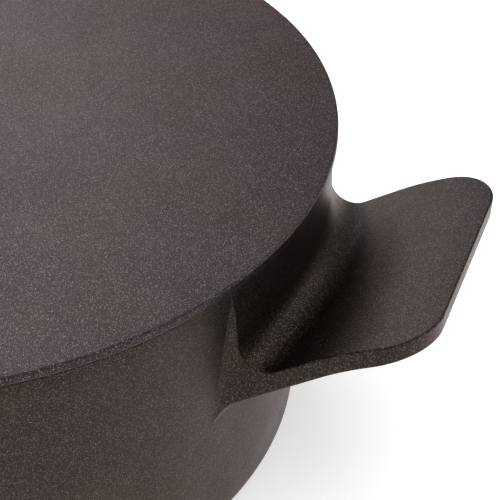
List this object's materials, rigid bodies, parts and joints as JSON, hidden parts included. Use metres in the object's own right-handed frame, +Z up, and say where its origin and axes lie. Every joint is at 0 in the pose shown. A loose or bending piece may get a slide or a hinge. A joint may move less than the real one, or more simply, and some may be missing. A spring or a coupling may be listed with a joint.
{
  "type": "cast iron dutch oven",
  "caption": "Low round cast iron dutch oven: a slightly flared pot with wing handles cast on, a flat lid that lifts off, and a small cast knob.",
  "frame": {"origin": "centre of the pot's flat base, on the surface it stands on", "axes": "+Z up through the knob, +X through the middle of one wing handle; the other handle lies along -X"},
  "size_m": [0.3648, 0.27, 0.1373],
  "materials": {
    "pot_iron": "matte seasoned iron, fine sand-cast grain",
    "lid_iron": "matte seasoned iron, fine sand-cast grain",
    "knob_iron": "matte seasoned iron, fine sand-cast grain",
    "steel": "plain stainless steel"
  },
  "bodies": {
    "pot_body": {"pot": "pot_iron"},
    "lid_body": {"lid": "lid_iron", "lid_knob": "knob_iron", "knob_washer": "steel", "knob_screw": "steel"}
  },
  "joints": [
    {"name": "lid_lift", "type": "slide", "parent": "pot_body", "child": "lid_body", "axis": [0, 0, 1], "range_m": [0, 0.15]}
  ]
}
